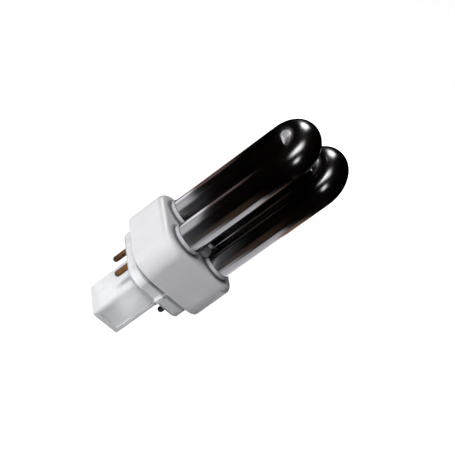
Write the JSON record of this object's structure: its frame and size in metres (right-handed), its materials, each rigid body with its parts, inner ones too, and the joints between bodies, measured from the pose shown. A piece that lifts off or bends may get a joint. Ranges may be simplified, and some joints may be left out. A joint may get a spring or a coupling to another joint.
{
  "type": "insect trap bulb",
  "caption": "Plug-in ultraviolet lamp for insect traps, with U-bent tubes of dark glass on a white collar, a hollow key post and round brass contact pins.",
  "frame": {"origin": "centre of the flat end face of the key post", "axes": "+Z along the lamp's axis from the post to the bends of the tubes, X joins the two legs of one U, Y runs from one U to the other"},
  "size_m": [0.032, 0.035, 0.1015],
  "materials": {
    "dark_glass": "gloss",
    "white_plastic": "satin",
    "cement": "matt",
    "brass": "dulled",
    "lead_wire": "drawn"
  },
  "bodies": {
    "root": {"discharge_tube": "dark_glass", "collar_shell": "white_plastic", "base_cap": "white_plastic", "basing_cement": "cement", "contact_pin_1": "brass", "contact_pin_2": "brass", "contact_pin_3": "brass", "contact_pin_4": "brass", "lead_wire_1": "lead_wire", "lead_wire_2": "lead_wire", "lead_wire_3": "lead_wire", "lead_wire_4": "lead_wire"}
  },
  "joints": []
}
